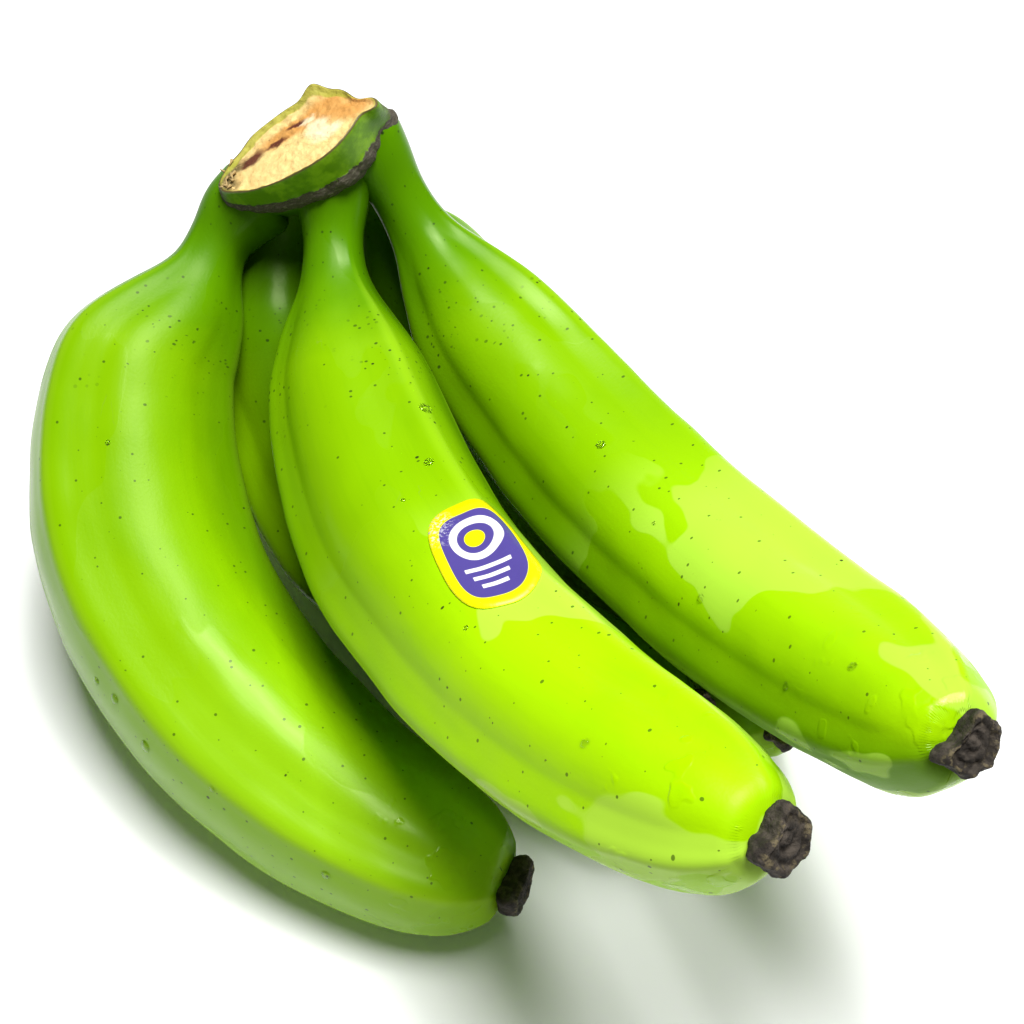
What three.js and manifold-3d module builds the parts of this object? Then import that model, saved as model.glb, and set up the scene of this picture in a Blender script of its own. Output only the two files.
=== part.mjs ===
// A hand of five green plantains on one cut crown, resting on three of its fingers.
// Millimetres, +Z up, origin on the surface it rests on, under the middle of its box.
import * as THREE from 'three';
import { mergeVertices } from 'three/addons/utils/BufferGeometryUtils.js';
import Module from 'manifold-3d';

const wasm = await Module();
wasm.setup();

// Clearance left between pieces that touch
const touchGap = 0.3;

// The five fingers. root is where the neck leaves the crown. azimuth and elevation (degrees) are the
// neck's heading, curlRoll turns the plane that the finger curls in about that heading, neckBend and
// tipBend are the turns along its first and second half, length runs along its middle line, girth is
// its largest radius and neckScale is how long its neck is beside the others'. ridges are the angles
// of its ridges, from the outside of the curl.
const fingers = [
  {
    name: 'front_left', root: [-47, 80.5, 84.3], azimuth: -146.6, elevation: -27.2, curlRoll: -16.6,
    neckBend: 80.5, tipBend: 44.1, length: 213.3, girth: 24.1, neckScale: 1,
    ridges: [-55, 5, 66, 190, 246],
  },
  {
    name: 'front_middle', root: [-26.4, 75.6, 90.1], azimuth: -90.5, elevation: -37.6, curlRoll: 55.5,
    neckBend: 56.4, tipBend: 27.7, length: 217.8, girth: 21.3, neckScale: 1,
    ridges: [-63, -3, 58, 185, 241],
  },
  {
    name: 'front_right', root: [-15.6, 84.2, 96.6], azimuth: -39.2, elevation: -52.3, curlRoll: 112.7,
    neckBend: 66.2, tipBend: 33.9, length: 229, girth: 20.8, neckScale: 1,
    ridges: [-74, -16, 38, 96, 230],
  },
  {
    name: 'back_left', root: [-33, 86.4, 80.5], azimuth: -142.5, elevation: -64.1, curlRoll: -2.9,
    neckBend: 88.2, tipBend: 43.4, length: 201, girth: 21.2, neckScale: 0.65,
    ridges: [-50, 10, 70, 200, 255],
  },
  {
    name: 'back_right', root: [-22.8, 90.6, 84], azimuth: 13.1, elevation: -62.5, curlRoll: 165.3,
    neckBend: 73.3, tipBend: 56.4, length: 210.9, girth: 20.5, neckScale: 0.65,
    ridges: [-85, -30, 35, 90, 220],
  },
];
const neckRun = 8; // straight neck that runs back into the crown, before the root

// Girth along a finger: share of its length, then share of its largest radius. neckScale draws the
// stations on the neck towards the crown.
const girthStations = [
  [0.045, 0.33], [0.09, 0.39], [0.14, 0.61], [0.2, 0.83], [0.28, 0.95], [0.4, 1.02], [0.55, 0.99],
  [0.68, 0.94], [0.8, 0.835], [0.88, 0.73], [0.94, 0.565],
];
const neckEnd = 0.3; // share of the length where the neck has become the body
const flareGirth = 0.44; // where the neck spreads into the crown
const rootGirth = 0.4;
const endGirth = 0.33;
const ridgeReach = 1.1; // how far a ridge stands out, as a share of the girth
const flatness = 0.42; // how far the faces between ridges are from round to flat
const ridgeRounding = 7; // degrees
const fingerSides = 24;
const fingerRings = 36;

// Dried blossom end on the tip of each finger: its outline is share of the radius, then of the length
const blossom = { length: 5, girth: 0.28, sides: 16, lump: 0.05 };
const blossomOutline = [
  [0, 0], [0.86, 0], [1, 0.3], [1.02, 0.75], [0.9, 1], [0.62, 0.94], [0.4, 1.02], [0.2, 0.92], [0, 0.96],
];

// Crown: a wedge of the stalk, cut across, over a cushion that the necks grow from. Its heights are
// above the dark scar ring, whose outline runs from the front to the right, the back and the left.
// The cut rises by cutTilt to the right and falls by cutLean to the back. The cushion moves to the
// back by cushionLean as it goes down.
const crown = {
  centre: [-31.7, 80.6, 98.9],
  along: [0.902, 0.273, 0.335],
  normal: [-0.28, -0.222, 0.935],
  ring: [
    [-1, -12.4], [7, -12.4], [13.5, -9.4], [18.5, -4.6], [23, 0.5], [19.5, 5.5], [13, 10.5],
    [4, 14], [-5, 14], [-14, 11.5], [-20, 6.5], [-23, 1.5], [-18.5, -5.2], [-11, -9.8],
  ],
  cutHeight: 7.5,
  cutTilt: 0.14,
  cutLean: 0.18,
  cutShare: 0.95,
  ringThickness: 1.6,
  cushionDepth: 19,
  cushionLean: 0.35,
  sides: 42,
};

// Paper label on the front middle finger: its centre is a distance along the finger and an angle
// round it, and it is turned from the finger's line
const label = {
  finger: 1, along: 124.7, angle: 168.3, turn: -12, width: 20, height: 36, thickness: 0.3, sides: 32,
  corner: 3, // exponent of its rounded outline
};

// The rest plane cuts the lowest fingers into small flats
const restBlock = { size: 400, depth: 20 };

const skinGreen = { color: 0x8fc400, roughness: 0.3 };
const looks = {
  skin: () => new THREE.MeshStandardMaterial({ ...skinGreen, metalness: 0 }),
  crown: () => new THREE.MeshStandardMaterial({ color: 0xd8c884, roughness: 0.7, metalness: 0 }),
  blossom: () => new THREE.MeshStandardMaterial({ color: 0x3a2f2a, roughness: 0.9, metalness: 0 }),
  label: () => new THREE.MeshStandardMaterial({ color: 0xf2e500, roughness: 0.4, metalness: 0 }),
};

const radians = THREE.MathUtils.degToRad;

// One closed mesh with shared corners, from any geometry
function welded(geometry) {
  geometry.deleteAttribute('normal');
  geometry.deleteAttribute('uv');
  return mergeVertices(geometry, 1e-4);
}

function solidOf(geometry) {
  const vertProperties = Float32Array.from(geometry.getAttribute('position').array);
  const triVerts = Uint32Array.from(geometry.getIndex().array);
  return new wasm.Manifold(new wasm.Mesh({ numProp: 3, vertProperties, triVerts }));
}

function geometryOf(solid) {
  const { vertProperties, triVerts } = solid.getMesh();
  const geometry = new THREE.BufferGeometry();
  geometry.setAttribute('position', new THREE.BufferAttribute(vertProperties, 3));
  geometry.setIndex(new THREE.BufferAttribute(triVerts, 1));
  return geometry;
}

// Moves every corner of a turned shape by a rule
function reshaped(geometry, rule) {
  const position = geometry.getAttribute('position');
  const corner = new THREE.Vector3();
  for (let i = 0; i < position.count; i += 1) {
    corner.fromBufferAttribute(position, i);
    rule(corner);
    position.setXYZ(i, corner.x, corner.y, corner.z);
  }
  return welded(geometry);
}

// A circular step in the finger's own plane
function arcStep(start, bend, distance) {
  const heading = start.heading + bend;
  if (Math.abs(bend) < 1e-9) {
    const x = start.x + distance * Math.cos(start.heading);
    return { x, z: start.z + distance * Math.sin(start.heading), heading };
  }
  const radius = distance / bend;
  return {
    x: start.x + radius * (Math.sin(heading) - Math.sin(start.heading)),
    z: start.z - radius * (Math.cos(heading) - Math.cos(start.heading)),
    heading,
  };
}

// The middle line in the finger's own frame: +X leaves the crown and +Z is the side it curls to
function spineAt(finger, distance) {
  const half = finger.length / 2;
  const straight = Math.min(distance, 0);
  const first = THREE.MathUtils.clamp(distance, 0, half);
  const second = Math.max(distance - half, 0);
  const atRoot = { x: straight, z: 0, heading: 0 };
  const atMiddle = arcStep(atRoot, radians(finger.neckBend) * (first / half), first);
  return arcStep(atMiddle, radians(finger.tipBend) * (second / half), second);
}

// Straight faces between the ridges, as a share of the girth
function flatFace(finger, angle) {
  const { ridges } = finger;
  const turned = THREE.MathUtils.euclideanModulo(angle - ridges[0], 360) + ridges[0];
  const next = ridges.findIndex((ridge) => ridge > turned);
  const after = next === -1 ? ridges[0] + 360 : ridges[next];
  const before = ridges.at(next === -1 ? -1 : next - 1);
  const half = (after - before) / 2;
  return (ridgeReach * Math.cos(radians(half))) / Math.cos(radians(turned - before - half));
}

// Section between a circle and a polygon with rounded corners, rounder at the neck and the tip
function sectionFactor(finger, angle, share) {
  const near = [-ridgeRounding, 0, ridgeRounding].map((step) => flatFace(finger, angle + step));
  const face = (near[0] + near[1] + near[2]) / 3;
  const fade = THREE.MathUtils.smoothstep(share, 0, 0.15) * (1 - THREE.MathUtils.smoothstep(share, 0.85, 1));
  return THREE.MathUtils.lerp(1, face, flatness * fade);
}

// A point at a distance along a finger, an angle round it and a radius from its middle line
function aroundSpine(finger, distance, angle, radius) {
  const { x, z, heading } = spineAt(finger, distance);
  const out = radius * Math.cos(radians(angle));
  const side = -radius * Math.sin(radians(angle));
  return new THREE.Vector3(x + out * Math.sin(heading), side, z - out * Math.cos(heading));
}

// The angle of a lathe's corner, in degrees
function angleRound(corner) {
  return THREE.MathUtils.radToDeg(Math.atan2(-corner.x, corner.z));
}

function fingerProfile(finger, grow) {
  const bodyEnd = finger.length - blossom.length - touchGap + grow;
  const points = [new THREE.Vector2(finger.girth * flareGirth, -neckRun)];
  points.push(new THREE.Vector2(finger.girth * rootGirth, 0));
  for (const [share, girth] of girthStations) {
    const place = share < neckEnd ? share * finger.neckScale : share;
    points.push(new THREE.Vector2(finger.girth * girth, finger.length * place));
  }
  points.push(new THREE.Vector2(finger.girth * endGirth, bodyEnd));
  return new THREE.SplineCurve(points);
}

function fingerShape(finger, grow = 0) {
  const side = fingerProfile(finger, grow).getSpacedPoints(fingerRings);
  for (const point of side) point.x += grow;
  const first = side[0];
  const last = side[side.length - 1];
  const outline = [new THREE.Vector2(0, first.y), ...side, new THREE.Vector2(0, last.y)];
  return reshaped(new THREE.LatheGeometry(outline, fingerSides), (corner) => {
    const angle = angleRound(corner);
    const radius = Math.hypot(corner.x, corner.z);
    const share = THREE.MathUtils.clamp(corner.y / finger.length, 0, 1);
    corner.copy(aroundSpine(finger, corner.y, angle, radius * sectionFactor(finger, angle, share)));
  });
}

// Turns a finger's own frame into the hand's
function placement(finger) {
  const azimuth = radians(finger.azimuth);
  const elevation = radians(finger.elevation);
  const roll = radians(finger.curlRoll);
  const heading = new THREE.Vector3(
    Math.cos(elevation) * Math.cos(azimuth), Math.cos(elevation) * Math.sin(azimuth), Math.sin(elevation));
  const level = new THREE.Vector3(-Math.sin(azimuth), Math.cos(azimuth), 0);
  const steep = new THREE.Vector3().crossVectors(heading, level);
  const curlSide = level.multiplyScalar(Math.cos(roll)).addScaledVector(steep, Math.sin(roll));
  const across = new THREE.Vector3().crossVectors(curlSide, heading);
  return new THREE.Matrix4().makeBasis(heading, across, curlSide).setPosition(...finger.root);
}

// The withered flower's stub: a short lumpy collar with rings in its hollow end
function blossomShape(finger) {
  const radius = finger.girth * blossom.girth;
  const start = finger.length - blossom.length;
  const outline = blossomOutline
    .map(([share, rise]) => new THREE.Vector2(radius * share, start + blossom.length * rise));
  return reshaped(new THREE.LatheGeometry(outline, blossom.sides), (corner) => {
    const angle = angleRound(corner);
    const coarse = Math.sin(radians(3 * angle) + finger.girth);
    const fine = Math.sin(radians(5 * angle) + finger.length);
    const waves = coarse + 0.7 * fine;
    const reach = Math.hypot(corner.x, corner.z) * (1 + blossom.lump * waves);
    corner.copy(aroundSpine(finger, corner.y, angle, reach));
  });
}

// Heights of the crown's outline, from the foot of its cushion up to the cut
function crownProfile() {
  const { ringThickness, cushionDepth, cutHeight, cutShare } = crown;
  return [
    [0, -cushionDepth], [0.4, -cushionDepth * 0.93], [0.66, -cushionDepth * 0.75],
    [0.84, -cushionDepth * 0.45], [0.91, -ringThickness * 2], [0.98, -ringThickness], [1, 0],
    [0.98, ringThickness], [0.97, cutHeight * 0.6], [cutShare, cutHeight], [0, cutHeight],
  ];
}

// The turned profile follows the ring's outline, and what stands above the ring leans with the cut.
// grow makes the larger copy that the necks are cut back by, and raise lifts its top.
function crownShape(grow = 0, raise = 0) {
  const outline = crownProfile().map(([share, rise]) => new THREE.Vector2(share, rise));
  const ring = new THREE.CatmullRomCurve3(crown.ring.map(([x, y]) => new THREE.Vector3(x, y, 0)), true);
  const along = new THREE.Vector3(...crown.along).normalize();
  const normal = new THREE.Vector3(...crown.normal).normalize();
  const across = new THREE.Vector3().crossVectors(normal, along).normalize();
  const centre = new THREE.Vector3(...crown.centre);
  return reshaped(new THREE.LatheGeometry(outline, crown.sides), (corner) => {
    const share = Math.hypot(corner.x, corner.z);
    const turn = Math.atan2(corner.x, corner.z) / (2 * Math.PI);
    const edge = ring.getPoint(turn < 0 ? turn + 1 : turn);
    const reach = share * (1 + grow / edge.length());
    const lift = Math.max(corner.y, 0) / crown.cutHeight;
    const below = Math.min(corner.y, 0);
    const x = edge.x * reach;
    const y = edge.y * reach - crown.cushionLean * below;
    const deeper = grow * (below / crown.cushionDepth);
    const z = corner.y + deeper + lift * (crown.cutTilt * x - crown.cutLean * y + raise);
    corner.copy(centre).addScaledVector(along, x).addScaledVector(across, y).addScaledVector(normal, z);
  });
}

// The girth of a finger at a distance along it
function girthAt(finger, distance) {
  const points = fingerProfile(finger, 0).getSpacedPoints(fingerRings);
  const next = points.findIndex((point) => point.y > distance);
  const [low, high] = [points[next - 1], points[next]];
  return THREE.MathUtils.mapLinear(distance, low.y, high.y, low.x, high.x);
}

// A thin disc stretched to a rounded tile and wrapped over the finger
function labelShape() {
  const finger = fingers[label.finger];
  const under = touchGap;
  const over = touchGap + label.thickness;
  const steps = [0, 0.2, 0.4, 0.6, 0.8, 1];
  const outline = [
    ...steps.map((share) => new THREE.Vector2(share, under)),
    ...steps.toReversed().map((share) => new THREE.Vector2(share, over)),
  ];
  const turn = radians(label.turn);
  const surface = (distance, angle) => (
    girthAt(finger, distance) * sectionFactor(finger, angle, distance / finger.length));
  const middle = surface(label.along, label.angle);
  return reshaped(new THREE.LatheGeometry(outline, label.sides), (corner) => {
    const round = Math.atan2(corner.x, corner.z);
    const across = Math.abs(Math.sin(round)) ** label.corner;
    const upright = Math.abs(Math.cos(round)) ** label.corner;
    const square = (across + upright) ** (-1 / label.corner);
    const x = corner.x * square * (label.width / 2);
    const y = corner.z * square * (label.height / 2);
    const distance = label.along + y * Math.cos(turn) - x * Math.sin(turn);
    const angle = label.angle + THREE.MathUtils.radToDeg((y * Math.sin(turn) + x * Math.cos(turn)) / middle);
    corner.copy(aroundSpine(finger, distance, angle, surface(distance, angle) + corner.y));
  });
}

// What lies under the rest plane
function groundSolid() {
  const block = new THREE.BoxGeometry(restBlock.size, restBlock.size, restBlock.depth);
  block.translate(0, 0, -restBlock.depth / 2);
  return solidOf(welded(block));
}

function named(name, geometry, material, matrix) {
  const mesh = new THREE.Mesh(geometry, material);
  mesh.name = name;
  if (matrix) mesh.applyMatrix4(matrix);
  return mesh;
}

const hand = new THREE.Group();
hand.name = 'hand';

// Each finger is cut back by the crown, by the fingers pressed against it and by the rest plane
const inTheWay = [solidOf(crownShape(touchGap, crown.cutHeight)), groundSolid()];
for (const finger of fingers) {
  const matrix = placement(finger);
  let body = solidOf(fingerShape(finger).applyMatrix4(matrix));
  for (const other of inTheWay) body = body.subtract(other);
  inTheWay.push(solidOf(fingerShape(finger, touchGap).applyMatrix4(matrix)));
  const geometry = geometryOf(body).applyMatrix4(matrix.clone().invert());
  hand.add(named(`finger_${finger.name}`, geometry, looks.skin(), matrix));
  hand.add(named(`blossom_end_${finger.name}`, blossomShape(finger), looks.blossom(), matrix));
}
hand.add(named('crown', crownShape(), looks.crown()));
hand.add(named('label', labelShape(), looks.label(), placement(fingers[label.finger])));

export default hand;
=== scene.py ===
# A hand of green plantains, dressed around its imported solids.
import math
import random

import bpy
from mathutils import Matrix, Vector


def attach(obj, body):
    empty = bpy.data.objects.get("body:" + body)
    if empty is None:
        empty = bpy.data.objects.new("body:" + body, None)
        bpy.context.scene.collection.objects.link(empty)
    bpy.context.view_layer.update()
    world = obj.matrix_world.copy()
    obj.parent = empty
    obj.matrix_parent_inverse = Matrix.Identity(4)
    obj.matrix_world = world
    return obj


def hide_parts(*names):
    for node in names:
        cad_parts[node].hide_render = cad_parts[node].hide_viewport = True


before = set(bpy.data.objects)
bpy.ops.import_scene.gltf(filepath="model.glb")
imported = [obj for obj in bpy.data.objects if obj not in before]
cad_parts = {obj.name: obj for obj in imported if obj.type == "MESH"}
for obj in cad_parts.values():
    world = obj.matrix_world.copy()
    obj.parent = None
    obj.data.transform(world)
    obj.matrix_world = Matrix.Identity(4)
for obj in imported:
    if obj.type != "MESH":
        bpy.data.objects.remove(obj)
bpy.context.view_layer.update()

mm = 0.001
random.seed(11)


def deselect():
    if bpy.context.object and bpy.context.object.mode != "OBJECT":
        bpy.ops.object.mode_set(mode="OBJECT")
    bpy.ops.object.select_all(action="DESELECT")


def pick(piece):
    deselect()
    piece.select_set(True)
    bpy.context.view_layer.objects.active = piece


def editAll(piece):
    pick(piece)
    bpy.ops.object.mode_set(mode="EDIT")
    bpy.ops.mesh.select_all(action="SELECT")


def applyAll(piece):
    pick(piece)
    for modifier in list(piece.modifiers):
        bpy.ops.object.modifier_apply(modifier=modifier.name)


def place(piece, matrix):
    # the place goes into the mesh, so the object stays at the origin
    piece.matrix_world = matrix
    pick(piece)
    bpy.ops.object.transform_apply(location=True, rotation=True, scale=True)


def joinAs(name, pieces):
    deselect()
    for piece in pieces:
        piece.select_set(True)
    bpy.context.view_layer.objects.active = pieces[0]
    bpy.ops.object.join()
    piece = bpy.context.object
    piece.name = name
    bpy.ops.object.shade_smooth()
    return piece


def rideAs(piece, slotName, *nodes):
    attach(piece, "root")
    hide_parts(*nodes)


def smoothstep(x, low, high):
    t = min(max((x - low) / (high - low), 0), 1)
    return t * t * (3 - 2 * t)


def addFact(piece, name, values):
    # a number at every corner, for the materials
    piece.data.attributes.new(name, "FLOAT", "POINT").data.foreach_set("value", values)


def addPlaces(piece, name, places):
    # a place in mm at every corner, in a frame that follows the piece
    flat = [number for spot in places for number in spot]
    piece.data.attributes.new(name, "FLOAT_VECTOR", "POINT").data.foreach_set("vector", flat)


def addLumps(piece, name, size, strength, groupName="", depth=2):
    lumps = bpy.data.textures.new(name + piece.name, "CLOUDS")
    lumps.noise_scale = size * mm
    lumps.noise_depth = depth
    push = piece.modifiers.new(name, "DISPLACE")
    push.texture = lumps
    push.vertex_group = groupName
    push.strength = strength * mm
    push.mid_level = 0.5


def addFiner(piece, levels):
    finer = piece.modifiers.new("finer", "SUBSURF")
    finer.levels = finer.render_levels = levels


# Fingers, in mm and degrees. sway is the small wander of the middle line: a stop, then how far it lies from
# the true arcs there. Each finger's painted light lightens its lower half, and a painted shade darkens the side
# at its given angle.
fingerPlan = {
    "front_left": dict(
        root=(-47, 80.5, 84.3), azimuth=-146.6, elevation=-27.2, curlRoll=-16.6, neckBend=80.5, tipBend=44.1,
        length=213.3, girth=24.4, bright=0.15, inner=215, neckScale=0.98, ridges=(-55, 5, 66, 190, 246),
        sway=((0, (-3, -1, 0)), (24, (2.4, -1.4, -0.8)), (48, (-2, 0.6, 0.6)), (80, (-1.2, 0, 0)),
              (120, (-1.2, 0, 0)), (190, (0, 0, 0)))),
    "front_middle": dict(
        root=(-26.4, 75.6, 90.1), azimuth=-90.5, elevation=-37.6, curlRoll=55.5, neckBend=56.4, tipBend=27.7,
        length=217.8, girth=21.3, bright=0.9, inner=255, neckScale=1, ridges=(-63, -3, 58, 185, 241),
        sway=((0, (0, 0, 0)),)),
    "front_right": dict(
        root=(-15.6, 84.2, 96.6), azimuth=-39.2, elevation=-52.3, curlRoll=112.7, neckBend=66.2, tipBend=33.9,
        length=229, girth=20.8, bright=0.75, inner=70, neckScale=1, ridges=(-74, -16, 38, 96, 230),
        sway=((30, (0, 0, 0)), (80, (0.7, 0.4, 0)), (190, (0.7, 0.4, 0)), (229, (-0.3, 0, -0.3)))),
    "back_left": dict(
        root=(-33, 86.4, 80.5), azimuth=-142.5, elevation=-64.1, curlRoll=-2.9, neckBend=88.2, tipBend=43.4,
        length=201, girth=20.5, bright=0, inner=150, neckScale=0.65, ridges=(-50, 10, 70, 200, 255),
        sway=((30, (-4.5, -1, 1.5)), (62, (-1.6, 0, 0)), (88, (-0.6, 0, 0)), (125, (3.8, 2.6, 0)),
              (155, (3.2, 2.3, 0)), (190, (0, 0, 0)))),
    "back_right": dict(
        root=(-22.8, 90.6, 84), azimuth=13.1, elevation=-62.5, curlRoll=165.3, neckBend=73.3, tipBend=56.4,
        length=210.9, girth=20.5, bright=0, inner=150, neckScale=0.65, ridges=(-85, -30, 35, 90, 220),
        sway=((10, (0, 0, 0)), (45, (-2, -1, -1.6)), (85, (-3.4, -2, -0.6)), (130, (-3, -2, 0)),
              (170, (0, 0, 0)))),
}
fingerMesh = dict(
    sides=84, rings=80, neckRun=8, flareGirth=0.44, rootGirth=0.4, endGirth=0.33, neckEnd=0.3, tipGap=5.2,
    base=0.84, ridgeReach=1.1, flatness=0.45, ridgeRounding=5, push=0.34, crest=0.024, crestReach=11,
    dim=0.75, lumpSize=22, lumpDepth=1.1, patternStart=40)  # patternStart: girths ahead of the root
girthStations = (
    (0.045, 0.33), (0.09, 0.39), (0.14, 0.61), (0.2, 0.83), (0.28, 0.95), (0.4, 1.02), (0.55, 0.99),
    (0.68, 0.94), (0.8, 0.835), (0.88, 0.73), (0.94, 0.565),
)


# Spine: straight in the crown, then two circular bends
def arcStep(x, z, heading, bend, distance):
    if abs(bend) < 1e-9:
        return x + distance * math.cos(heading), z + distance * math.sin(heading), heading
    radius = distance / bend
    turned = heading + bend
    return (x + radius * (math.sin(turned) - math.sin(heading)),
            z - radius * (math.cos(turned) - math.cos(heading)), turned)


def spineAt(plan, distance):
    half = plan["length"] / 2
    first = min(max(distance, 0), half)
    second = max(distance - half, 0)
    x, z, heading = arcStep(min(distance, 0), 0, 0, math.radians(plan["neckBend"]) * first / half, first)
    return arcStep(x, z, heading, math.radians(plan["tipBend"]) * second / half, second)


def girthStops(plan):
    shape = fingerMesh
    stops = [(-shape["neckRun"], shape["flareGirth"]), (0, shape["rootGirth"])]
    for share, girth in girthStations:
        drawn = share * plan["neckScale"] if share < shape["neckEnd"] else share
        stops.append((drawn * plan["length"], girth))
    return stops + [(plan["length"] - shape["tipGap"], shape["endGirth"])]


def girthAt(plan, stop):
    # a smooth curve through the stations, in mm
    s = girthStops(plan)
    last = len(s) - 1
    stop = min(max(stop, s[0][0]), s[last][0])
    k = max(i for i in range(last) if s[i][0] <= stop)
    slopes = []
    for i in (k, k + 1):
        before, after = s[max(i - 1, 0)], s[min(i + 1, last)]
        slopes.append((after[1] - before[1]) / (after[0] - before[0]))
    width = s[k + 1][0] - s[k][0]
    t = (stop - s[k][0]) / width
    return plan["girth"] * (
        (2 * t ** 3 - 3 * t ** 2 + 1) * s[k][1] + (t ** 3 - 2 * t ** 2 + t) * width * slopes[0]
        + (3 * t ** 2 - 2 * t ** 3) * s[k + 1][1] + (t ** 3 - t ** 2) * width * slopes[1])


def flatFace(plan, angle):
    ridges = plan["ridges"]
    turned = (angle - ridges[0]) % 360 + ridges[0]
    later = [r for r in ridges if r > turned]
    after = later[0] if later else ridges[0] + 360
    before = max(r for r in ridges if r <= turned)
    half = (after - before) / 2
    fromMiddle = math.radians(turned - before - half)
    return fingerMesh["ridgeReach"] * math.cos(math.radians(half)) / math.cos(fromMiddle)


def sectionAt(plan, angle, share):
    near = [flatFace(plan, angle + k * fingerMesh["ridgeRounding"]) for k in (-1, 0, 1)]
    fade = smoothstep(share, 0, 0.15) * (1 - 0.6 * smoothstep(share, 0.93, 1))
    aside = min(abs((angle - ridge + 180) % 360 - 180) for ridge in plan["ridges"])
    crest = fingerMesh["crest"] * smoothstep(1 - aside / fingerMesh["crestReach"], 0, 1)
    return 1 + fade * (fingerMesh["flatness"] * (sum(near) / 3 - 1) + crest)


def placement(plan):
    azimuth, elevation, roll = (math.radians(plan[k]) for k in ("azimuth", "elevation", "curlRoll"))
    heading = Vector((math.cos(elevation) * math.cos(azimuth), math.cos(elevation) * math.sin(azimuth),
                      math.sin(elevation)))
    level = Vector((-math.sin(azimuth), math.cos(azimuth), 0))
    curlSide = math.cos(roll) * level + math.sin(roll) * heading.cross(level)
    across = curlSide.cross(heading)
    turn = Matrix((heading, across, curlSide)).transposed().to_4x4()
    return Matrix.Translation(Vector(plan["root"]) * mm) @ turn


def swayAt(plan, stop):
    # in mm, along the hand's own axes
    marks = plan["sway"]
    if stop <= marks[0][0]:
        return Vector(marks[0][1])
    for (low, first), (high, second) in zip(marks, marks[1:]):
        if stop <= high:
            return Vector(first).lerp(Vector(second), smoothstep(stop, low, high))
    return Vector(marks[-1][1])


def swayed(piece, plan, stops, sides):
    # moves every ring of a finger, or of what sits on its tip, to the wandering middle line
    turnBack = placement(plan).to_3x3().inverted()
    moves = [turnBack @ swayAt(plan, stop) * mm for stop in stops]
    for corner in piece.data.vertices:
        corner.co += moves[corner.index // sides]


def extrudeAlong(plan, stops, radii, sides):
    # a disc, extruded, turned and resized from stop to stop along the spine
    x, z, heading = spineAt(plan, stops[0])
    deselect()
    bpy.ops.mesh.primitive_circle_add(vertices=sides, radius=radii[0] * mm, fill_type="NGON",
                                      location=(x * mm, 0, z * mm), rotation=(0, math.pi / 2 - heading, 0))
    piece = bpy.context.object
    bpy.ops.object.transform_apply(location=True, rotation=True, scale=True)
    editAll(piece)
    for k in range(1, len(stops)):
        nx, nz, turned = spineAt(plan, stops[k])
        bpy.ops.mesh.extrude_region_move(
            TRANSFORM_OT_translate={"value": ((nx - x) * mm, 0, (nz - z) * mm)})
        centre = (nx * mm, 0, nz * mm)
        if abs(turned - heading) > 1e-6:
            bpy.ops.transform.rotate(value=turned - heading, orient_axis="Y", center_override=centre)
        size = radii[k] / radii[k - 1]
        bpy.ops.transform.resize(value=(size, size, size), center_override=centre)
        x, z, heading = nx, nz, turned
    bpy.ops.mesh.select_all(action="SELECT")
    bpy.ops.mesh.normals_make_consistent(inside=False)
    bpy.ops.object.mode_set(mode="OBJECT")
    return piece


def angleOf(plan, stop, point):
    x, z, heading = spineAt(plan, stop)
    dx, dz = point.x / mm - x, point.z / mm - z
    out = dx * math.sin(heading) - dz * math.cos(heading)
    return math.degrees(math.atan2(-point.y / mm, out))


def makeFinger(name, plan):
    shape = fingerMesh
    length = plan["length"]
    run = length - shape["tipGap"] + shape["neckRun"]
    stops = [-shape["neckRun"] + run * k / shape["rings"] for k in range(shape["rings"] + 1)]
    radii = [girthAt(plan, stop) * shape["base"] for stop in stops]
    piece = extrudeAlong(plan, stops, radii, shape["sides"])
    piece.name = "fruit_" + name
    # every ring keeps its order, so a corner's number gives its stop
    push = shape["push"] * plan["girth"]
    group = piece.vertex_groups.new(name="section")
    shares, edges, places, paintedShades = [], [], [], []
    for corner in piece.data.vertices:
        stop = stops[corner.index // shape["sides"]]
        share = stop / length
        angle = angleOf(plan, stop, corner.co)
        section = sectionAt(plan, angle, share)
        reach = girthAt(plan, stop) * section
        weight = (reach - girthAt(plan, stop) * shape["base"]) / push
        group.add([corner.index], min(max(weight, 0), 1), "REPLACE")
        shares.append(share)
        edges.append(smoothstep(section, 1.01, 1.055))
        # a painted shade: the skin darkened on the side at the given angle round the finger
        paintedShades.append(shape["dim"] * smoothstep(math.cos(math.radians(angle - plan["inner"])), 0.45, 0.95))
        round_ = math.radians(angle)
        places.append((reach * math.cos(round_), reach * math.sin(round_),
                       stop + plan["girth"] * shape["patternStart"]))
    swayed(piece, plan, stops, shape["sides"])
    addFact(piece, "along", shares)
    addFact(piece, "ridge", edges)
    # a painted light: the lower half of the skin lightened, more on the front fingers
    addFact(piece, "bright", [plan["bright"] * smoothstep(share, 0.4, 0.7) for share in shares])
    # the painted shade on one side, as a number at every corner
    addFact(piece, "dim", paintedShades)
    addPlaces(piece, "straightened", places)
    widen = piece.modifiers.new("ridges", "DISPLACE")
    widen.vertex_group = "section"
    widen.strength = push * mm
    widen.mid_level = 0
    addLumps(piece, "uneven", shape["lumpSize"], shape["lumpDepth"])
    addFiner(piece, 1)
    applyAll(piece)
    place(piece, placement(plan))
    # it lies on the small flat that its weight makes
    editAll(piece)
    bpy.ops.mesh.bisect(plane_co=(0, 0, 0), plane_no=(0, 0, 1), use_fill=True, clear_inner=True)
    bpy.ops.object.mode_set(mode="OBJECT")
    bpy.ops.object.shade_smooth()
    rideAs(piece, "skin", "finger_" + name)
    return piece


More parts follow.
